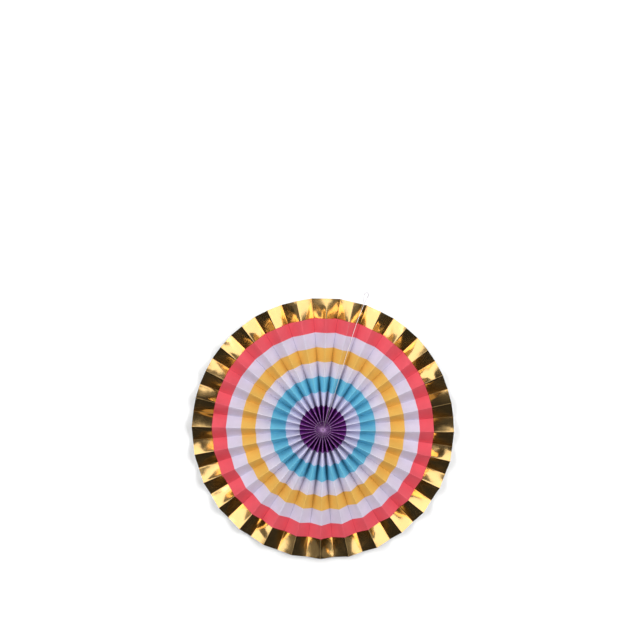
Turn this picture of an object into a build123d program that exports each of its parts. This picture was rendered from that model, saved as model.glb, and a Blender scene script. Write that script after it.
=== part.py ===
from build123d import *
import os
from math import cos, degrees, hypot, pi, radians, sin, sqrt, tan

os.makedirs("parts", exist_ok=True)

# A paper fan rosette: one long strip of paper, pleated into straight panels and spread into a full
# disc. Its hub edge is gathered on a binding thread and its two end panels are taped together. A
# hanging thread runs from the hub along the seam valley to a loop at the rim.
# The disc lies on its back. The hub axis is Z, the printed front faces +Z, and the surface that it
# lies on is z = 0. Lengths are in mm and angles in degrees.

# Driving dimensions of the paper
RIM_RADIUS = 200.0
PLEAT_COUNT = 28
RIM_DEPTH = 12.0  # height of a ridge over a valley at the rim
PAPER_THICKNESS = 0.2
HUB_RADIUS = 2.4  # open hole that the gathered edge leaves in the middle
SEAM_ANGLE = 70.7  # direction of the seam valley, from +X towards +Y

# Driving dimensions of the glued seam
SEAM_GAP = 0.25  # between the two lapped panels
TAPE_THICKNESS = 0.1
TAPE_WIDTH = 9.0
TAPE_RIM_MARGIN = 6.0  # from the rim to the tape's outer end
TAPE_HUB_MARGIN = 22.0  # from the hub axis to the tape's inner end

# Driving dimensions of the threads
BINDING_DIAMETER = 0.6
BINDING_RADIUS = 12.0
BINDING_INSET = 8.0  # from the front edge of the hub to the binding thread
NEEDLE_HOLE_CLEARANCE = 0.1
HUB_KNOT_DIAMETER = 1.3
THREAD_DIAMETER = 0.8
END_KNOT_DIAMETER = 2.6
KNOT_CLEARANCE = 0.04  # between a knot and each thread that it grips
CORD_BEND_SHARE = 0.45  # part of the shorter run that an arc's tangent takes

# How finely folds and threads are described
HUB_STRETCHES = 4  # straight stretches of a fold from the hub to the tape's inner end
TAPE_STRETCHES = 10  # and from there to the tape's outer end
BINDING_SIDES = 6
THREAD_SIDES = 8

FOLD_COUNT = 2 * PLEAT_COUNT
FOLD_STEP = pi / PLEAT_COUNT


def chord(radius):
    """Straight distance between two neighbouring folds at this distance from the hub axis."""
    return 2 * radius * sin(FOLD_STEP / 2)


PANEL_WIDTH = hypot(chord(RIM_RADIUS), RIM_DEPTH)
HUB_DEPTH = sqrt(PANEL_WIDTH**2 - chord(HUB_RADIUS) ** 2)
MID_HEIGHT = HUB_DEPTH / 2


def depth(radius):
    """Height of the ridges' top over the valleys' underside, for a panel of constant width."""
    return sqrt(PANEL_WIDTH**2 - chord(radius) ** 2)


def wall(radius):
    """Height of the paper cut by a vertical line: its thickness seen along the steep panel."""
    return PAPER_THICKNESS * PANEL_WIDTH / chord(radius)


def climb(radius):
    """Height that one panel's front gains from its valley fold to its ridge fold."""
    return depth(radius) - wall(radius)


def slant(radius):
    """Width of one panel's front, along its slope."""
    return hypot(chord(radius), climb(radius))


def seam_shift(radius, gap, layers):
    """Sideways and upward shift off the first panel's front, across a gap and layers of paper."""
    distance = gap + layers * PAPER_THICKNESS * PANEL_WIDTH / slant(radius)
    return distance * climb(radius) / slant(radius), distance * chord(radius) / slant(radius)


def fold_point(fold, radius):
    """Point on the front of a fold. Even folds are valleys, and fold 0 starts the strip. The last
    fold comes round the disc and lies on the first."""
    sideways, upward = seam_shift(radius, SEAM_GAP, 1)
    round_disc = 2 * pi - sideways / radius
    angle = radians(SEAM_ANGLE) + round_disc * fold / FOLD_COUNT
    height = MID_HEIGHT - depth(radius) / 2 + wall(radius)
    if fold % 2:
        height += climb(radius)
    if fold == FOLD_COUNT:
        height += upward
    return Vector(radius * cos(angle), radius * sin(angle), height)


def stations():
    """Distances from the hub axis at which every fold is placed, closer together near the hub."""
    tape_start, tape_end = TAPE_HUB_MARGIN, RIM_RADIUS - TAPE_RIM_MARGIN
    hub_steps = [(i / HUB_STRETCHES) ** 2 for i in range(HUB_STRETCHES)]
    tape_steps = [i / TAPE_STRETCHES for i in range(TAPE_STRETCHES + 1)]
    near_hub = [HUB_RADIUS + (tape_start - HUB_RADIUS) * step for step in hub_steps]
    along_tape = [tape_start * (tape_end / tape_start) ** step for step in tape_steps]
    return near_hub + along_tape + [RIM_RADIUS]


def fold_line(fold):
    """Points on the front of a fold, from the hub to the rim."""
    return [fold_point(fold, radius) for radius in stations()]


def off_front(line, gap, layers):
    """A line on the first panel's front, moved off it across a gap and layers of paper."""
    moved = []
    for point, radius in zip(line, stations()):
        sideways, upward = seam_shift(radius, gap, layers)
        moved.append(point.rotate(Axis.Z, -degrees(sideways / radius)) + Vector(0, 0, upward))
    return moved


def lowered(line):
    """The back of the paper under a line on its front."""
    return [point - Vector(0, 0, wall(r)) for point, r in zip(line, stations())]


def along_panel(line, next_line, share):
    """Line along a panel at a share of its width. Each stretch of a panel is folded slightly along
    one diagonal, so the line has a point where it crosses that diagonal."""
    points = [line[0] + (next_line[0] - line[0]) * share]
    for end, next_start, next_end in zip(line[1:], next_line, next_line[1:]):
        points.append(next_start + (end - next_start) * (1 - share))
        points.append(end + (next_end - end) * share)
    return points


def skin(line, next_line):
    """Flat triangles between two lines, two for each stretch."""
    faces = []
    for start, end, next_start, next_end in zip(line, line[1:], next_line, next_line[1:]):
        for corners in ((start, next_start, end), (next_start, next_end, end)):
            faces.append(Face(Wire.make_polygon(corners)))
    return faces


def sheet(lines):
    """Closed solid of thin paper or tape. Each line is a pair, its front over its back."""
    faces = []
    for (front, back), (next_front, next_back) in zip(lines, lines[1:]):
        faces += skin(front, next_front) + skin(back, next_back)
        for end in (0, -1):
            faces += skin([front[end], back[end]], [next_front[end], next_back[end]])
    for front, back in (lines[0], lines[-1]):
        faces += skin(front, back)
    return Solid(Shell(faces))


def ring(section_diameter):
    """Thread or bore round the hub axis, at the place of the binding thread."""
    section = RegularPolygon(section_diameter / 2, BINDING_SIDES)
    section = Plane.XZ * Pos(BINDING_RADIUS, BINDING_HEIGHT) * section
    return revolve(section, axis=Axis.Z)


def pleated_paper():
    """The whole strip, from its first edge round the disc to the panel that covers the first."""
    lines = [fold_line(fold) for fold in range(FOLD_COUNT + 1)]
    lines.append(off_front(lines[1], SEAM_GAP, 1))
    strip = sheet([(line, lowered(line)) for line in lines])
    return strip - ring(BINDING_DIAMETER + 2 * NEEDLE_HOLE_CLEARANCE)


def seam_tape():
    """Thin strip in the gap between the first panel's front and the last one's back."""
    half_share = TAPE_WIDTH / PANEL_WIDTH / 2
    gap_below = (SEAM_GAP - TAPE_THICKNESS) / 2
    lines = []
    for share in (0.5 - half_share, 0.5 + half_share):
        pair = []
        for gap in (gap_below + TAPE_THICKNESS, gap_below):
            folds = [off_front(fold_line(fold), gap, 0)[HUB_STRETCHES:-1] for fold in (0, 1)]
            pair.append(along_panel(*folds, share))
        lines.append(pair)
    return sheet(lines)


def on_seam(along, across, height):
    """Point given along the seam valley, to its left, and above the surface."""
    angle = radians(SEAM_ANGLE)
    x = along * cos(angle) - across * sin(angle)
    y = along * sin(angle) + across * cos(angle)
    return Vector(x, y, height)


def cord_route(points):
    """Straight runs between the points, joined by tangent arcs as large as the runs allow."""
    radii = []
    for before, corner, after in zip(points, points[1:], points[2:]):
        half_turn = radians((corner - before).get_angle(after - corner)) / 2
        shorter = min((corner - before).length, (after - corner).length)
        radii.append(CORD_BEND_SHARE * shorter / tan(half_turn))
    print("bend radii", [round(radius, 1) for radius in radii])
    return FilletPolyline(*points, radius=radii)


def tube(route, diameter):
    """Tube along a route, with flats round its section."""
    section = Plane(origin=route @ 0, z_dir=route % 0) * RegularPolygon(diameter / 2, THREAD_SIDES)
    swept = sweep(section, path=route)
    full = route.length * section.area
    print("tube length", round(route.length, 1), "volume share", round(swept.volume / full, 4))
    return swept


BINDING_HEIGHT = MID_HEIGHT + HUB_DEPTH / 2 - BINDING_INSET

# The hanging thread, as points along the seam valley, to its left, and above the surface. It
# leaves the hub knot, sinks into the valley, wanders up its left wall and ends at the rim.
THREAD_ROUTE = [
    (12.36, -0.42, 17.43),
    (17.0, -0.4, 17.4),
    (24.0, -0.1, 16.7),
    (33.0, 0.2, 14.9),
    (44.0, 0.5, 12.6),
    (58.0, 1.0, 10.9),
    (76.0, 2.0, 11.1),
    (98.0, 3.1, 11.7),
    (122.0, 4.1, 12.2),
    (146.0, 4.7, 12.3),
    (168.0, 5.4, 12.5),
    (185.0, 5.0, 12.4),
    (198.4, 4.6, 11.9),
]

# The hanging loop: two strands that leave the end knot, droop over the rim and end on the surface
LOOP_ROUTE = [
    (199.8, 5.1, 11.7),
    (203.4, 5.9, 10.4),
    (207.2, 6.9, 7.8),
    (211.0, 7.9, 4.6),
    (214.6, 8.4, 1.9),
    (217.5, 7.4, 0.6),
    (218.6, 4.9, 0.5),
    (217.4, 2.4, 0.6),
    (214.3, 1.7, 1.9),
    (210.8, 2.5, 4.6),
    (207.0, 3.2, 7.8),
    (203.3, 3.9, 10.4),
    (199.8, 4.1, 11.7),
]


def socket(route, end, length):
    """Bore in a knot for one end of a cord: 0 is the end where its route starts, 1 the other."""
    leaving = route % 0 if end == 0 else -(route % 1)
    reach = THREAD_DIAMETER / 2 + KNOT_CLEARANCE
    bore = extrude(RegularPolygon(reach, THREAD_SIDES, major_radius=False), length)
    return Plane(origin=route @ end, z_dir=leaving) * bore


def bead(diameter):
    """Knot as a bead with flats, where three eight-sided bars cross."""
    bar = RegularPolygon(diameter / 2, 8, major_radius=False, rotation=22.5)
    bar = extrude(bar, diameter / 2, both=True)
    return bar & Rot(90, 0, 0) * bar & Rot(0, 90, 0) * bar


def hub_knot():
    """Bead of thread on the binding thread, in the seam valley, where the hanging thread starts."""
    sideways = seam_shift(BINDING_RADIUS, SEAM_GAP, 1)[0]
    place = on_seam(BINDING_RADIUS, -sideways, BINDING_HEIGHT)
    knot = Pos(*place) * bead(HUB_KNOT_DIAMETER) - ring(BINDING_DIAMETER + 2 * KNOT_CLEARANCE)
    return knot - socket(thread_route, 0, HUB_KNOT_DIAMETER)


def end_knot():
    """Bead of thread at the rim, where the hanging thread ends and both loop strands start."""
    ends = (THREAD_ROUTE[-1], LOOP_ROUTE[0], LOOP_ROUTE[-1])
    place = sum((on_seam(*end) for end in ends), Vector()) / len(ends)
    knot = Pos(*place) * bead(END_KNOT_DIAMETER)
    for route, end in ((thread_route, 1), (loop_route, 0), (loop_route, 1)):
        knot -= socket(route, end, END_KNOT_DIAMETER)
    return knot


thread_route = cord_route([on_seam(*point) for point in THREAD_ROUTE])
loop_route = cord_route([on_seam(*point) for point in LOOP_ROUTE])

parts = {
    "pleated_paper": pleated_paper(),
    "seam_tape": seam_tape(),
    "binding_thread": ring(BINDING_DIAMETER),
    "hub_knot": hub_knot(),
    "hanging_thread": tube(thread_route, THREAD_DIAMETER),
    "end_knot": end_knot(),
    "hanging_loop": tube(loop_route, THREAD_DIAMETER),
}
for name, shape in parts.items():
    export_step(shape, f"parts/{name}.step")
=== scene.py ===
import bpy
from math import atan2, cos, degrees, hypot, pi, radians, sin
import numpy as np
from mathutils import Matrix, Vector


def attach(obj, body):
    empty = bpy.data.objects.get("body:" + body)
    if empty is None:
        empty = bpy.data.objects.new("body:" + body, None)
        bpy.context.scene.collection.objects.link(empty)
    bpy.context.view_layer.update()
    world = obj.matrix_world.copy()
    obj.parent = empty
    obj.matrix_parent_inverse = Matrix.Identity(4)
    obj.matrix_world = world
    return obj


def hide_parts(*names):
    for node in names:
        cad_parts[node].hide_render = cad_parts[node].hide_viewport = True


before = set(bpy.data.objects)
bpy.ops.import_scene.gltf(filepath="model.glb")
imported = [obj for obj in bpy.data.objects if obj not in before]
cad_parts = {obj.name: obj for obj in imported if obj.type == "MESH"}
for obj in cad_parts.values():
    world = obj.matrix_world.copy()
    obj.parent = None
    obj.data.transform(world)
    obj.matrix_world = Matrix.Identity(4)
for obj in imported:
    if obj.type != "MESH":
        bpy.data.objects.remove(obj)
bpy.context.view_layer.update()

# Lengths are in metres. The hub axis is Z, the printed front faces +Z, +Y is up in the photograph.
MM = 0.001
RIM_RADIUS = 0.2
HUB_RADIUS = 0.0013
PLEAT_COUNT = 28
RIM_DEPTH = 0.012
SEAM_ANGLE = radians(70.7)
FOLD_COUNT = 2 * PLEAT_COUNT
PAPER = 0.15 * MM
SEAM_GAP = 0.25 * MM
OVERLAP_SHARE = 0.97  # of the last panel's width, so that its free edge shows
PANEL_WIDTH = hypot(2 * RIM_RADIUS * sin(pi / FOLD_COUNT), RIM_DEPTH)
MID_HEIGHT = 0.01273  # halfway between the ridges and the valleys

rng = np.random.default_rng(28)


# Camera
PIXELS = 640
FRAME_WIDTH = 0.977  # of the whole picture, at the disc
HUB_PIXEL = (323.0, 429.1)
DISTANCE = 3.0
VIEW_TILT = radians(7.5)
SENSOR_WIDTH = 36.0

metres_per_pixel = FRAME_WIDTH / PIXELS
below_centre = (HUB_PIXEL[1] - PIXELS / 2) * metres_per_pixel
axis_tilt = VIEW_TILT - atan2(below_centre, DISTANCE)
camera_data = bpy.data.cameras.new("camera")
camera_data.sensor_width = SENSOR_WIDTH
camera_data.lens = SENSOR_WIDTH * DISTANCE * cos(VIEW_TILT - axis_tilt) / FRAME_WIDTH
camera_data.clip_end = 50.0
camera = bpy.data.objects.new("camera", camera_data)
bpy.context.scene.collection.objects.link(camera)
camera.location = (
    -(HUB_PIXEL[0] - PIXELS / 2) * metres_per_pixel,
    DISTANCE * sin(VIEW_TILT),
    MID_HEIGHT + DISTANCE * cos(VIEW_TILT),
)
camera.rotation_euler = (-axis_tilt, 0.0, 0.0)
bpy.context.scene.camera = camera
bpy.context.scene.view_settings.view_transform = "Standard"


# Mesh helpers
def new_mesh(name, points, faces, smooth=True):
    mesh = bpy.data.meshes.new(name)
    mesh.from_pydata([tuple(p) for p in points], [], faces)
    mesh.update()
    if smooth:
        mesh.polygons.foreach_set("use_smooth", [True] * len(mesh.polygons))
    piece = bpy.data.objects.new(name, mesh)
    bpy.context.scene.collection.objects.link(piece)
    return piece


def sheet(name, columns):
    """Mesh between neighbouring columns, which all have the same number of points."""
    rows = len(columns[0])
    faces = []
    for column in range(len(columns) - 1):
        for row in range(rows - 1):
            a = column * rows + row
            faces.append((a, a + 1, a + rows + 1, a + rows))
    return new_mesh(name, np.concatenate(columns), faces)


def thicken(piece, thickness):
    """Give a sheet its thickness, half to each side."""
    thick = piece.modifiers.new("thickness", "SOLIDIFY")
    thick.thickness = thickness
    thick.offset = 0.0
    return thick


def sharpen_border(mesh):
    """Keep the shading flat up to a sheet's cut edge, once the sheet has a thickness."""
    edge_of_corner = np.empty(len(mesh.loops), dtype=np.int32)
    mesh.loops.foreach_get("edge_index", edge_of_corner)
    uses = np.bincount(edge_of_corner, minlength=len(mesh.edges))
    mesh.edges.foreach_set("use_edge_sharp", uses == 1)


def add_values(mesh, name, values):
    layer = mesh.attributes.new(name, "FLOAT", "POINT")
    layer.data.foreach_set("value", np.asarray(values, dtype=np.float32))


def smooth_noise(positions, count, amplitude):
    """Smooth random curve over 0 to 1 with about this many bumps."""
    knots = rng.uniform(-1, 1, count + 3)
    x = np.asarray(positions) * count
    i = np.clip(x.astype(int), 0, count)
    f = x - i
    f = f * f * (3 - 2 * f)
    return amplitude * (knots[i] * (1 - f) + knots[i + 1] * f)


# Folds of the paper
ALONG_CELLS = 76
CELL_GROWTH = 1.12  # cells are shorter near the hub
FREEDOM = 1.4  # folds are held tightly at the hub and are freer towards the rim

# Unevenness of the folds' directions, in degrees
SEAM_TURN = 1.4
FOLDS_AFTER_SEAM = 1.2
FOLDS_BEFORE_SEAM = 3.0
BUNCHED_TURN = 0.8
BUNCHED_ANGLE = 140.0
BUNCHED_SPAN = 28.0
FOLD_JITTER = 0.28

# Unevenness of a fold along its length
FOLD_BENDS = 3
FOLD_WAVE = 0.32 * MM
FOLD_LIFT = 0.45 * MM
FOLD_SWING = radians(0.10)
RIM_SHORT = 0.35 * MM
RIM_LONG = 0.25 * MM

share = (np.arange(ALONG_CELLS + 1) / ALONG_CELLS) ** CELL_GROWTH
radius = HUB_RADIUS + (RIM_RADIUS - HUB_RADIUS) * share
outward = share**FREEDOM


def fold_angles():
    """Direction of each fold. They are nearly even, with the unevenness that the photograph shows."""
    fold = np.arange(FOLD_COUNT + 1)
    turn = SEAM_TURN * np.exp((fold - FOLD_COUNT) / FOLDS_BEFORE_SEAM)
    turn -= SEAM_TURN * (1 - np.exp(-fold / FOLDS_AFTER_SEAM))
    turn[-1] = turn[0] = 0.0
    angle = degrees(SEAM_ANGLE) + 360.0 * fold / FOLD_COUNT
    turn += BUNCHED_TURN * np.exp(-(((angle - BUNCHED_ANGLE) / BUNCHED_SPAN) ** 2))
    jitter = rng.uniform(-FOLD_JITTER, FOLD_JITTER, FOLD_COUNT + 1)
    jitter[[0, 1, -2, -1]] = 0.0
    return np.radians(angle + turn + jitter)


def half_depth(r):
    """Half of the height between ridge and valley, from the width of a panel."""
    chord = 2 * r * sin(pi / FOLD_COUNT)
    return (np.sqrt(PANEL_WIDTH**2 - chord**2) - PAPER) / 2


def off_panel(points, distance):
    """Points of the first panel's folds, moved off its front along its own normal."""
    chord = 2 * radius * sin(pi / FOLD_COUNT)
    climb = 2 * half_depth(radius)
    slant = np.hypot(chord, climb)
    swing = -distance * climb / slant / radius
    c, s = np.cos(swing), np.sin(swing)
    moved = points.copy()
    moved[:, 0] = points[:, 0] * c - points[:, 1] * s
    moved[:, 1] = points[:, 0] * s + points[:, 1] * c
    moved[:, 2] += distance * chord / slant
    return moved


def fold_lines():
    """Middle of the paper along every fold, then the last panel's free edge."""
    lines = []
    for fold, angle in enumerate(fold_angles()):
        side = 1 if fold % 2 else -1
        height = MID_HEIGHT + side * half_depth(radius)
        wander = smooth_noise(share, FOLD_BENDS, FOLD_WAVE) + rng.uniform(-FOLD_LIFT, FOLD_LIFT)
        height = height + outward * wander
        swing = smooth_noise(share, FOLD_BENDS, FOLD_SWING) * outward
        reach = radius + outward * rng.uniform(-RIM_SHORT, RIM_LONG)
        x = reach * np.cos(angle + swing)
        y = reach * np.sin(angle + swing)
        lines.append(np.stack([x, y, height], axis=1))
    lines[-1] = off_panel(lines[0], PAPER + SEAM_GAP)
    free_edge = off_panel(lines[1], PAPER + SEAM_GAP)
    lines.append(lines[-1] + (free_edge - lines[-1]) * OVERLAP_SHARE)
    return lines


# Panels between the folds
ACROSS_CELLS = 8
ARCH_BENDS = 4
ARCH_WAVE = 0.25 * MM
ARCH_RIPPLES = 7
ARCH_RIPPLE = 0.3 * MM
ARCH_DEPTH = 0.7 * MM
TWIST_BENDS = 5
TWIST_WAVE = 0.25 * MM
TWIST_DEPTH = 0.3 * MM
DENT_DEPTH = 2.2 * MM
DENT_RADIUS = 0.176  # of its deepest point, in the foil
DENT_INNER_RADIUS = 0.152
DENT_OUTER_RADII = (0.187, 0.203)
DENT_ACROSS = (0.28, 0.72)
CREASE_WIDTH = 0.24 * MM  # of the rounded fold, seen from the front
CREASE_DROP = 0.07 * MM
CREASE_SHARE = 0.28  # of a panel's width from the front, at most, which counts near the hub


def panel_bow():
    """How far a panel stands off the flat along its length: as one arch, then as an S across it."""
    held = np.sin(np.pi * np.minimum(share, 0.5)) ** 0.5
    arch = smooth_noise(share, ARCH_BENDS, ARCH_WAVE)
    arch += smooth_noise(share, ARCH_RIPPLES, ARCH_RIPPLE) * outward
    arch += rng.uniform(-ARCH_DEPTH, ARCH_DEPTH) * outward
    twist = smooth_noise(share, TWIST_BENDS, TWIST_WAVE) + rng.uniform(-TWIST_DEPTH, TWIST_DEPTH)
    return arch * held, twist * outward * held


def rim_dent():
    """A dent with straight creases: its deepest point across the panel, its outer end and its depth."""
    return (
        rng.uniform(*DENT_ACROSS),
        rng.uniform(*DENT_OUTER_RADII),
        rng.uniform(-DENT_DEPTH, DENT_DEPTH),
    )


lines = fold_lines()
bows = [panel_bow() for _ in range(FOLD_COUNT + 1)]
dents = [rim_dent() for _ in range(FOLD_COUNT + 1)]
bows[-1] = bows[0]
dents[0] = dents[-1] = (0.5, RIM_RADIUS, 0.0)  # the lapped panels hold each other flat


def crease_side(panel, end):
    """Points where a panel starts to round off into the fold at its start (0) or its end (1)."""
    fold = lines[panel + end]
    across = lines[panel + 1 - end] - fold
    across[:, 2] = 0.0
    plan = np.linalg.norm(across, axis=1)
    step = np.minimum(CREASE_WIDTH / 2, CREASE_SHARE * plan)
    side = 1 if (panel + end) % 2 else -1
    points = fold + across * (step / plan)[:, None]
    points[:, 2] -= side * CREASE_DROP
    return points


def panel_points(panel, across):
    """Points along a panel at a share of its width, with its bow and its dent."""
    start, end = crease_side(panel, 0), crease_side(panel, 1)
    flat = start + (end - start) * across
    forward = np.gradient(flat, axis=0)
    normal = np.cross(forward, end - start)
    normal /= np.linalg.norm(normal, axis=1)[:, None]
    arch, twist = bows[panel]
    middle, outer_end, deep = dents[panel]
    sideways = min(across / middle, (1 - across) / (1 - middle))
    outwards = (outer_end - radius) / (outer_end - DENT_RADIUS)
    inwards = (radius - DENT_INNER_RADIUS) / (DENT_RADIUS - DENT_INNER_RADIUS)
    dent = np.clip(np.minimum(outwards, inwards), 0, sideways)
    bend = arch * sin(pi * across) + twist * sin(2 * pi * across) + deep * dent
    return flat + normal * bend[:, None]


def pleated_paper():
    columns, across_values = [], []
    crease = CREASE_WIDTH / 2 / PANEL_WIDTH
    for panel in range(FOLD_COUNT + 1):
        columns.append(lines[panel])
        across_values.append(panel)
        for cell in range(ACROSS_CELLS + 1):
            across = cell / ACROSS_CELLS
            columns.append(panel_points(panel, across))
            across_values.append(panel + crease + across * (1 - 2 * crease))
    piece = sheet("pleated_paper_sheet", columns)
    mesh = piece.data
    sharpen_border(mesh)
    add_values(mesh, "across", np.repeat(across_values, ALONG_CELLS + 1))
    add_values(mesh, "along", np.tile(radius, len(columns)))
    thick = thicken(piece, PAPER)
    thick.material_offset = 1
    thick.material_offset_rim = 2
    return piece


# Material helpers
def linear(red, green, blue):
    """Linear colour from screen values, 0 to 255."""
    channels = []
    for value in (red, green, blue):
        v = value / 255
        channels.append(v / 12.92 if v <= 0.04045 else ((v + 0.055) / 1.055) ** 2.4)
    return (*channels, 1.0)


class Nodes:
    """Short way to add and join shader nodes."""

    def __init__(self, name):
        self.material = bpy.data.materials.new(name)
        self.material.use_nodes = True
        self.tree = self.material.node_tree
        self.shader = self.tree.nodes["Principled BSDF"]

    def add(self, kind, inputs=None, **settings):
        node = self.tree.nodes.new(kind)
        for key, value in settings.items():
            setattr(node, key, value)
        for key, value in (inputs or {}).items():
            self.set(node.inputs[key], value)
        return node

    def set(self, socket, value):
        if isinstance(value, bpy.types.NodeSocket):
            self.tree.links.new(value, socket)
        else:
            socket.default_value = value

    def place(self):
        """Place on the object, in metres."""
        return self.add("ShaderNodeTexCoord").outputs["Object"]

    def value(self, name):
        return self.add("ShaderNodeAttribute", attribute_name=name).outputs["Fac"]

    def math(self, operation, a, b=0.0):
        node = self.add("ShaderNodeMath", operation=operation)
        self.set(node.inputs[0], a)
        self.set(node.inputs[1], b)
        return node.outputs[0]

    def smooth(self, value, low, high, to_low=0.0, to_high=1.0):
        """Smooth step from to_low to to_high while the value goes from low to high."""
        inputs = {"Value": value, "From Min": low, "From Max": high, "To Min": to_low, "To Max": to_high}
        node = self.add("ShaderNodeMapRange", inputs, interpolation_type="SMOOTHSTEP")
        return node.outputs[0]

    def mix(self, share, a, b, blend="MIX"):
        """Colour between a and b."""
        node = self.add("ShaderNodeMix", data_type="RGBA", blend_type=blend)
        self.set(node.inputs[0], share)
        self.set(node.inputs[6], a)
        self.set(node.inputs[7], b)
        return node.outputs[2]

    def between(self, share, a, b):
        """Number between a and b."""
        node = self.add("ShaderNodeMix", data_type="FLOAT")
        self.set(node.inputs[0], share)
        self.set(node.inputs[2], a)
        self.set(node.inputs[3], b)
        return node.outputs[0]

    def noise(self, vector, scale, detail=3.0, roughness=0.55):
        inputs = {"Vector": vector, "Scale": scale, "Detail": detail, "Roughness": roughness}
        return self.add("ShaderNodeTexNoise", inputs).outputs[0]

    def bump(self, height, distance, strength):
        inputs = {"Height": height, "Distance": distance, "Strength": strength}
        return self.add("ShaderNodeBump", inputs).outputs[0]

    def finish(self, **inputs):
        for key, value in inputs.items():
            self.set(self.shader.inputs[key.replace("_", " ")], value)
        return self.material


# Printed front
# The three white rings are one white ink; their tints, bluer towards the hub and greyer outwards, are
# painted shade
RINGS = [
    # outer radius in mm, colour of the print
    (35.9, linear(116, 42, 134)),
    (56.5, linear(214, 212, 234)),
    (79.8, linear(110, 188, 214)),
    (102.7, linear(213, 207, 222)),
    (125.0, linear(222, 176, 86)),
    (147.6, linear(204, 197, 215)),
    (169.2, linear(216, 82, 94)),
    (200.0, (0.95, 0.62, 0.25, 1.0)),
]
FOIL_INNER_RADIUS = RINGS[-2][0] * MM
PRINT_WOBBLE = 0.5 * MM  # of the rings' borders
# Paler colours painted on the ridges: worn ink and painted highlight, lavender in the purple core
CORE_WEAR_AND_HIGHLIGHT = linear(212, 172, 222)
PAPER_WEAR_AND_HIGHLIGHT = (0.86, 0.83, 0.88, 1.0)
# Painted shade in the valleys: its tone and how strongly it darkens the print near a valley fold
VALLEY_PAINTED_SHADE = (0.25, 0.2, 0.3, 1.0)
VALLEY_SHADE_SHARE = 0.35


def paper_coordinates(n):
    """Place on the flat strip, in metres: across the folds and along them."""
    across = n.math("MULTIPLY", n.value("across"), PANEL_WIDTH)
    return n.add("ShaderNodeCombineXYZ", {"X": across, "Y": n.value("along")}).outputs[0]


def crease_distance(n):
    """Distance to the nearest fold, in mm."""
    from_fold = n.math("SUBTRACT", n.math("FRACT", n.math("ADD", n.value("across"), 0.5)), 0.5)
    return n.math("MULTIPLY", n.math("ABSOLUTE", from_fold), PANEL_WIDTH / MM)


def ridge_share(n):
    """1 on the ridge half of each panel and 0 on the valley half."""
    phase = n.math("FRACT", n.math("MULTIPLY", n.math("ADD", n.value("across"), 0.5), 0.5))
    return n.math("GREATER_THAN", phase, 0.5)


def ring_colour(n, print_place):
    """Colour of the print at a radius, with a sharp border between two rings."""
    ramp = n.add("ShaderNodeValToRGB", {"Fac": n.math("DIVIDE", print_place, RIM_RADIUS)})
    ramp.color_ramp.interpolation = "CONSTANT"
    stops = ramp.color_ramp.elements
    ready_stops = len(stops)
    start = 0.0
    for i, (outer, colour) in enumerate(RINGS):
        stop = stops[i] if i < ready_stops else stops.new(start)
        stop.position = start
        stop.color = colour
        start = outer * MM / RIM_RADIUS
    return ramp.outputs[0]


def wear_and_highlight_share(n, fibre, from_crease, on_ridge):
    """How much paler colour is painted, as worn ink and painted highlight: along the ridges, mostly near
    the hub, and at the gathered edge.
    """
    line = n.math("SUBTRACT", 1.0, n.smooth(from_crease, 0.08, 0.42))
    line = n.math("MULTIPLY", line, n.smooth(fibre, 0.35, 0.62))
    near_hub = n.smooth(n.value("along"), 0.03, 0.06, 0.85, 0.04)
    line = n.math("MULTIPLY", line, n.math("MULTIPLY", on_ridge, near_hub))
    gathered_edge = n.smooth(n.value("along"), 0.002, 0.006, 0.8, 0.0)
    return n.math("MAXIMUM", line, gathered_edge)


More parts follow.
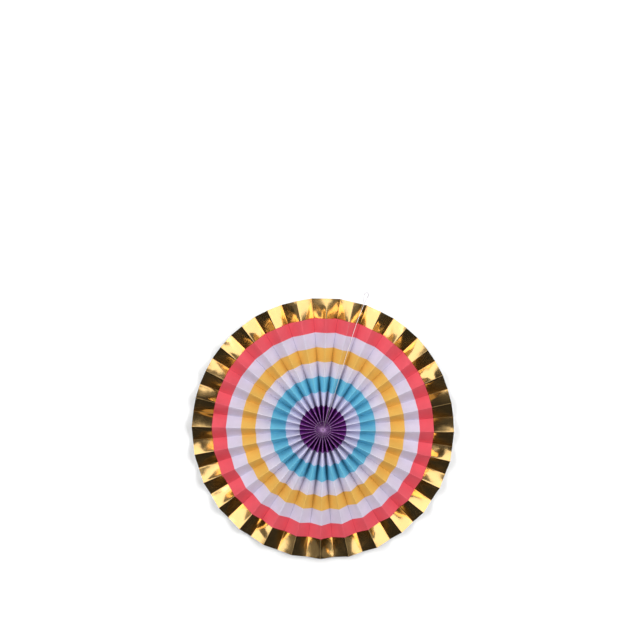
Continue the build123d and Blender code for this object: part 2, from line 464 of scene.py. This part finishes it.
def printed_front():
    n = Nodes("printed_paper_front")
    place = paper_coordinates(n)
    fine = n.noise(place, 5200.0, detail=4.0)
    fibre = n.noise(place, 900.0, detail=6.0, roughness=0.65)
    cloud = n.noise(place, 38.0)
    from_crease = crease_distance(n)
    on_ridge = ridge_share(n)

    # The rings follow the strip, with borders as uneven as a coarse print
    wobble = n.math("MULTIPLY", n.math("SUBTRACT", fibre, 0.5), PRINT_WOBBLE)
    print_place = n.math("ADD", n.value("along"), wobble)
    colour = ring_colour(n, print_place)
    foil = n.math("GREATER_THAN", print_place, FOIL_INNER_RADIUS)

    # Ink lies a little unevenly; the ridges get paler colour as worn ink and painted highlight, and the
    # valleys get painted shade
    uneven = n.smooth(cloud, 0.3, 0.7, 0.95, 1.03)
    uneven = n.math("MULTIPLY", uneven, n.smooth(fibre, 0.3, 0.7, 0.965, 1.02))
    grey = n.add("ShaderNodeCombineXYZ", {"X": uneven, "Y": uneven, "Z": uneven}).outputs[0]
    colour = n.mix(1.0, colour, grey, "MULTIPLY")
    # Painted highlight, with worn ink, along the ridges and at the gathered edge
    past_core = n.smooth(n.value("along"), 0.034, 0.038)
    wear_and_highlight_colour = n.mix(past_core, CORE_WEAR_AND_HIGHLIGHT, PAPER_WEAR_AND_HIGHLIGHT)
    colour = n.mix(wear_and_highlight_share(n, fibre, from_crease, on_ridge), colour, wear_and_highlight_colour)
    # Painted shade: the colour darkens towards each valley fold
    valley = n.math("SUBTRACT", 1.0, n.smooth(from_crease, 0.1, 0.9))
    valley = n.math("MULTIPLY", valley, n.math("SUBTRACT", 1.0, on_ridge))
    colour = n.mix(n.math("MULTIPLY", valley, VALLEY_SHADE_SHARE), colour, VALLEY_PAINTED_SHADE, "MULTIPLY")

    # The foil is a thin metal film, smooth in patches, with slight wrinkles and a dull line at each fold
    wrinkle = n.noise(place, 130.0, detail=1.2, roughness=0.45)
    crinkle = n.noise(place, 620.0, roughness=0.6)
    foil_rough = n.smooth(cloud, 0.3, 0.7, 0.14, 0.21)
    foil_crease = n.math("SUBTRACT", 1.0, n.smooth(from_crease, 0.05, 0.4))
    foil_rough = n.math("ADD", foil_rough, n.math("MULTIPLY", foil_crease, 0.3))
    paper_rough = n.smooth(fibre, 0.3, 0.7, 0.58, 0.7)

    # Heights of the bump, in mm
    paper_height = n.math("ADD", n.math("MULTIPLY", fine, 0.0175), n.math("MULTIPLY", fibre, 0.05))
    foil_height = n.math("ADD", n.math("MULTIPLY", wrinkle, 0.15), n.math("MULTIPLY", crinkle, 0.0015))
    height = n.between(foil, paper_height, foil_height)
    return n.finish(
        Base_Color=colour,
        Metallic=foil,
        Roughness=n.between(foil, paper_rough, foil_rough),
        Specular_IOR_Level=0.35,
        Normal=n.bump(height, 1.0 * MM, 0.6),
    )


# Other materials
def plain_back():
    n = Nodes("printed_paper_back")
    place = paper_coordinates(n)
    fibre = n.noise(place, 900.0, detail=6.0, roughness=0.65)
    cloud = n.noise(place, 45.0)
    tone = n.mix(n.smooth(cloud, 0.3, 0.7), (0.84, 0.83, 0.82, 1.0), (0.9, 0.89, 0.87, 1.0))
    tone = n.mix(n.smooth(fibre, 0.35, 0.7, 0.0, 0.25), tone, (0.72, 0.7, 0.68, 1.0))
    return n.finish(
        Base_Color=tone,
        Roughness=n.smooth(fibre, 0.3, 0.7, 0.7, 0.85),
        Specular_IOR_Level=0.25,
        Normal=n.bump(fibre, 0.05 * MM, 0.6),
    )


def cut_edge():
    n = Nodes("printed_paper_edge")
    fibre = n.noise(n.place(), 1800.0, detail=5.0, roughness=0.65)
    tone = n.mix(n.smooth(fibre, 0.3, 0.7), (0.42, 0.38, 0.34, 1.0), (0.66, 0.62, 0.58, 1.0))
    return n.finish(Base_Color=tone, Roughness=0.8, Normal=n.bump(fibre, 0.04 * MM, 0.7))


def clear_tape():
    n = Nodes("double_sided_tape")
    place = n.place()
    fibre = n.noise(place, 600.0, detail=4.0)
    glue = n.noise(place, 90.0)
    tone = n.mix(n.smooth(glue, 0.35, 0.65), (0.86, 0.84, 0.76, 1.0), (0.93, 0.92, 0.87, 1.0))
    return n.finish(
        Base_Color=tone,
        Roughness=n.smooth(fibre, 0.3, 0.7, 0.3, 0.5),
        Normal=n.bump(glue, 0.05 * MM, 0.5),
    )


def thread_finish():
    """Cotton thread, with painted shade that greys the loop."""
    n = Nodes("white_thread")
    place = n.place()
    fibre = n.noise(place, 4200.0, detail=5.0, roughness=0.7)
    streak = n.noise(place, 700.0)
    tone = n.mix(n.smooth(fibre, 0.3, 0.7), (0.78, 0.75, 0.74, 1.0), (0.95, 0.93, 0.92, 1.0))
    tone = n.mix(n.smooth(streak, 0.4, 0.7, 0.0, 0.3), tone, (0.8, 0.74, 0.72, 1.0))
    hub_distance = n.add("ShaderNodeVectorMath", {0: place}, operation="LENGTH").outputs["Value"]
    # Painted shade: the loop beyond the rim is greyed
    loop_painted_shade = n.smooth(hub_distance, 0.196, 0.206, 0.0, 0.85)
    tone = n.mix(loop_painted_shade, tone, (0.46, 0.42, 0.5, 1.0), "MULTIPLY")
    return n.finish(
        Base_Color=tone,
        Roughness=0.55,
        Sheen_Weight=0.25,
        Normal=n.bump(fibre, 0.06 * MM, 0.8),
    )


FRONT, BACK, EDGE = printed_front(), plain_back(), cut_edge()
THREAD, TAPE = thread_finish(), clear_tape()

paper = pleated_paper()
for material in (FRONT, BACK, EDGE):
    paper.data.materials.append(material)
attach(paper, "root")
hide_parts("pleated_paper")


# Seam tape
TAPE_START = 0.022
TAPE_END = 0.194
TAPE_WIDTH = 9.0 * MM
TAPE_THICKNESS = 0.1 * MM
TAPE_COLUMNS = 5


def seam_tape():
    """Thin strip between the first panel and the one that laps over it."""
    rows = [i for i in range(len(radius)) if TAPE_START <= radius[i] <= TAPE_END]
    half_share = TAPE_WIDTH / 2 / PANEL_WIDTH
    columns = []
    for across in np.linspace(0.5 - half_share, 0.5 + half_share, TAPE_COLUMNS):
        low = panel_points(0, across)
        high = panel_points(FOLD_COUNT, across / OVERLAP_SHARE)
        columns.append(((low + high) / 2)[rows])
    piece = sheet("seam_tape_strip", columns)
    thicken(piece, TAPE_THICKNESS)
    return piece


tape = seam_tape()
tape.data.materials.append(TAPE)
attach(tape, "root")
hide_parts("seam_tape")


# Routes of the thread and its loop
def on_seam(along, across, height):
    """Point from mm along the seam valley, to its left, and above the surface."""
    x = along * cos(SEAM_ANGLE) - across * sin(SEAM_ANGLE)
    y = along * sin(SEAM_ANGLE) + across * cos(SEAM_ANGLE)
    return Vector((x, y, height)) * MM


THREAD_ROUTE = [
    (12.36, -0.42, 17.43),
    (16.0, -0.42, 17.5),
    (21.0, -0.3, 17.4),
    (28.0, 0.0, 17.2),
    (38.0, 0.3, 16.9),
    (50.0, 0.8, 16.5),
    (64.0, 1.5, 16.1),
    (80.0, 2.3, 15.6),
    (98.0, 3.1, 15.1),
    (122.0, 4.1, 14.4),
    (146.0, 4.7, 13.7),
    (168.0, 5.4, 13.1),
    (185.0, 4.9, 12.6),
    (198.4, 4.3, 12.2),
]
LOOP_ROUTE = [
    (199.8, 4.8, 12.0),
    (203.4, 5.9, 10.4),
    (207.2, 6.9, 7.8),
    (211.0, 7.9, 4.6),
    (214.6, 8.4, 1.9),
    (217.5, 7.4, 0.6),
    (218.6, 4.9, 0.5),
    (217.4, 2.4, 0.6),
    (214.3, 1.7, 1.9),
    (210.8, 2.5, 4.6),
    (207.0, 3.2, 7.8),
    (203.3, 3.9, 10.4),
    (199.8, 3.8, 12.0),
]


def route_points(name, points):
    """Smooth line through a route, read from its spline."""
    curve = bpy.data.curves.new(name, "CURVE")
    curve.dimensions = "3D"
    spline = curve.splines.new("NURBS")
    spline.points.add(len(points) - 1)
    for target, point in zip(spline.points, points):
        target.co = (*point, 1.0)
    spline.order_u = 3
    spline.use_endpoint_u = True
    spline.resolution_u = 24
    holder = bpy.data.objects.new(name, curve)
    mesh = bpy.data.meshes.new_from_object(holder)
    line = [v.co.copy() for v in mesh.vertices]
    bpy.data.objects.remove(holder)
    bpy.data.curves.remove(curve)
    bpy.data.meshes.remove(mesh)
    return line


# Twisted thread
FIBRE_DIAMETER = 0.9 * MM  # over both plies with their fibres
THREAD_PITCH = 2.8 * MM
THREAD_STEP = 0.3 * MM
PLY_COUNT = 2
PLY_SIDES = 8
PLY_RADIUS_SHARE = 0.3  # of the thread's diameter
PLY_UNEVENNESS = 0.07


def evenly(line, step, closed=False):
    """The same line with points at an even step, and its length."""
    line = list(line) + ([line[0]] if closed else [])
    points = np.array(line)
    lengths = np.concatenate([[0], np.cumsum(np.linalg.norm(np.diff(points, axis=0), axis=1))])
    count = max(2, int(round(lengths[-1] / step)) + 1)
    places = np.linspace(0, lengths[-1], count)
    even = [Vector([np.interp(p, lengths, points[:, k]) for k in range(3)]) for p in places]
    return even, lengths[-1]


def frames_along(line):
    """Directions along a line, each with a side direction that turns as little as possible."""
    tangents = []
    for i in range(len(line)):
        tangents.append((line[min(i + 1, len(line) - 1)] - line[max(i - 1, 0)]).normalized())
    side = tangents[0].orthogonal().normalized()
    frames = []
    for tangent in tangents:
        side = (side - tangent * side.dot(tangent)).normalized()
        frames.append((tangent, side, tangent.cross(side)))
    return frames


def tube_faces(first, rings, closed):
    """Faces of a tube whose rings of points follow each other from this first point."""
    faces = []
    for i in range(rings if closed else rings - 1):
        here = first + i * PLY_SIDES
        there = first + (i + 1) % rings * PLY_SIDES
        for k in range(PLY_SIDES):
            following = (k + 1) % PLY_SIDES
            faces.append((here + k, here + following, there + following, there + k))
    if not closed:
        last = first + (rings - 1) * PLY_SIDES
        faces.append(tuple(first + k for k in reversed(range(PLY_SIDES))))
        faces.append(tuple(last + k for k in range(PLY_SIDES)))
    return faces


def twisted_thread(name, line, diameter, pitch, closed=False, step=THREAD_STEP):
    """Two plies twisted round a line, each a little thicker in places than in others."""
    even, length = evenly(line, step, closed)
    if closed:
        even = even[:-1]
    rings = len(even)
    steps = rings if closed else rings - 1
    turns = max(1, round(length / pitch))
    ply_radius = diameter * PLY_RADIUS_SHARE
    lay_radius = diameter / 2 - ply_radius
    slope = 2 * pi * lay_radius / pitch
    frames = frames_along(even)
    points, faces = [], []
    for ply in range(PLY_COUNT):
        thickness = 1 + smooth_noise(np.linspace(0, 1, rings), max(3, turns), PLY_UNEVENNESS)
        faces += tube_faces(len(points), rings, closed)
        for i, (centre, (tangent, side, up)) in enumerate(zip(even, frames)):
            angle = 2 * pi * (turns * i / steps + ply / PLY_COUNT)
            radial = side * cos(angle) + up * sin(angle)
            middle = centre + radial * lay_radius
            along = (tangent + (up * cos(angle) - side * sin(angle)) * slope).normalized()
            across = along.cross(radial)
            for k in range(PLY_SIDES):
                turn = 2 * pi * k / PLY_SIDES
                rim = radial * cos(turn) + across * sin(turn)
                points.append(middle + rim * ply_radius * thickness[i])
    piece = new_mesh(name, points, faces)
    piece.data.materials.append(THREAD)
    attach(piece, "root")
    return piece


thread_line = route_points("thread_route", [on_seam(*p) for p in THREAD_ROUTE])
loop_line = route_points("loop_route", [on_seam(*p) for p in LOOP_ROUTE])

thread = twisted_thread("hanging_thread_plies", thread_line, FIBRE_DIAMETER, THREAD_PITCH)
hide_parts("hanging_thread")
loop = twisted_thread("hanging_loop_plies", loop_line, FIBRE_DIAMETER, THREAD_PITCH)
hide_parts("hanging_loop")


# Binding thread
BINDING_RADIUS = 12.0 * MM
BINDING_HEIGHT = 17.45 * MM
BINDING_DIAMETER = 0.52 * MM
BINDING_PITCH = 2.0 * MM
BINDING_POINTS = 180

ring_line = [
    Vector((BINDING_RADIUS * cos(a), BINDING_RADIUS * sin(a), BINDING_HEIGHT))
    for a in np.linspace(0, 2 * pi, BINDING_POINTS + 1)[:-1]
]
binding = twisted_thread("binding_thread_plies", ring_line, BINDING_DIAMETER, BINDING_PITCH, closed=True)
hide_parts("binding_thread")


# Knots
KNOT_PITCH = 1.6 * MM
KNOT_STEP = 0.12 * MM
KNOT_POINTS = 96
HUB_KNOT_SIDEWAYS = 0.43  # in mm, from the seam valley towards the thread
HUB_KNOT_SIZE = 1.25 * MM
HUB_KNOT_DIAMETER = 0.5 * MM
END_KNOT_SIZE = 2.55 * MM
END_KNOT_DIAMETER = 0.74 * MM


def tied_knot(name, centre, forward, size, diameter):
    """Overhand knot of the same thread, pulled tight, as one closed turn through itself."""
    forward = forward.normalized()
    side = forward.orthogonal().normalized()
    up = forward.cross(side)
    reach = (size - diameter) / 6
    line = []
    for t in np.linspace(0, 2 * pi, KNOT_POINTS + 1)[:-1]:
        a = (sin(t) + 2 * sin(2 * t)) * reach
        b = (cos(t) - 2 * cos(2 * t)) * reach
        c = -sin(3 * t) * reach * 1.5
        line.append(centre + side * a + up * b + forward * c)
    return twisted_thread(name, line, diameter, KNOT_PITCH, closed=True, step=KNOT_STEP)


hub_centre = on_seam(BINDING_RADIUS / MM, -HUB_KNOT_SIDEWAYS, BINDING_HEIGHT / MM)
hub_forward = Vector((0, 0, 1))
hub_knot = tied_knot("hub_knot_turns", hub_centre, hub_forward, HUB_KNOT_SIZE, HUB_KNOT_DIAMETER)
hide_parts("hub_knot")
end_centre = (on_seam(*THREAD_ROUTE[-1]) + on_seam(*LOOP_ROUTE[0]) + on_seam(*LOOP_ROUTE[-1])) / 3
end_forward = on_seam(*LOOP_ROUTE[0]) - on_seam(*THREAD_ROUTE[-1])
end_knot = tied_knot("end_knot_turns", end_centre, end_forward, END_KNOT_SIZE, END_KNOT_DIAMETER)
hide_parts("end_knot")


# Floor
HALF_FLOOR = 8.0
corners = [(-1, -1), (1, -1), (1, 1), (-1, 1)]
floor_points = [(x * HALF_FLOOR, y * HALF_FLOOR, 0.0) for x, y in corners]
floor = new_mesh("floor", floor_points, [(0, 1, 2, 3)], smooth=False)
n = Nodes("floor")
grain = n.noise(n.place(), 60.0)
tone = n.mix(n.smooth(grain, 0.3, 0.7), (0.95, 0.95, 0.95, 1.0), (0.97, 0.97, 0.97, 1.0))
floor.data.materials.append(n.finish(Base_Color=tone, Roughness=0.9, Specular_IOR_Level=0.1))


# Light
HUB = (0.0, 0.0, 0.02)
WORLD_STRENGTH = 0.03


def softbox(name, place, width, height, power, in_foil=True):
    """Lamp that faces the hub, in metres and watts. The foil mirrors it only where in_foil is True."""
    data = bpy.data.lights.new(name, "AREA")
    data.shape = "RECTANGLE"
    data.size = width
    data.size_y = height
    data.energy = power
    light = bpy.data.objects.new(name, data)
    bpy.context.scene.collection.objects.link(light)
    light.location = place
    direction = Vector(HUB) - Vector(place)
    light.rotation_euler = direction.to_track_quat("-Z", "Y").to_euler()
    light.visible_glossy = in_foil


def from_hub(azimuth, elevation, distance):
    """Place at a distance from the hub, in degrees from +X towards +Y and above the floor."""
    a, e = radians(azimuth), radians(elevation)
    return (distance * cos(a) * cos(e), distance * sin(a) * cos(e), distance * sin(e))


softbox("key_right", from_hub(35, 32, 2.3), 2.8, 1.1, 13.0)
softbox("key_left", from_hub(141, 32, 2.3), 2.8, 1.1, 13.0)
softbox("glow_right", from_hub(30, 22, 2.7), 5.2, 2.6, 5.0)
softbox("glow_left", from_hub(150, 22, 2.7), 5.2, 2.6, 5.0)
softbox("upper_right", from_hub(18, 57, 2.6), 1.9, 1.1, 16.0)
softbox("upper_left", from_hub(158, 57, 2.6), 1.9, 1.1, 16.0)
softbox("overhead", (0.0, 1.0, 4.2), 2.4, 2.4, 9.0)
softbox("paper_right", from_hub(18, 57, 2.6), 1.9, 1.1, 30.0, in_foil=False)
softbox("paper_left", from_hub(158, 57, 2.6), 1.9, 1.1, 30.0, in_foil=False)
softbox("paper_low", from_hub(270, 12, 2.6), 3.4, 0.8, 13.0, in_foil=False)

world = bpy.data.worlds.new("world")
world.use_nodes = True
background = world.node_tree.nodes["Background"]
background.inputs["Color"].default_value = (1.0, 1.0, 1.0, 1.0)
background.inputs["Strength"].default_value = WORLD_STRENGTH
bpy.context.scene.world = world
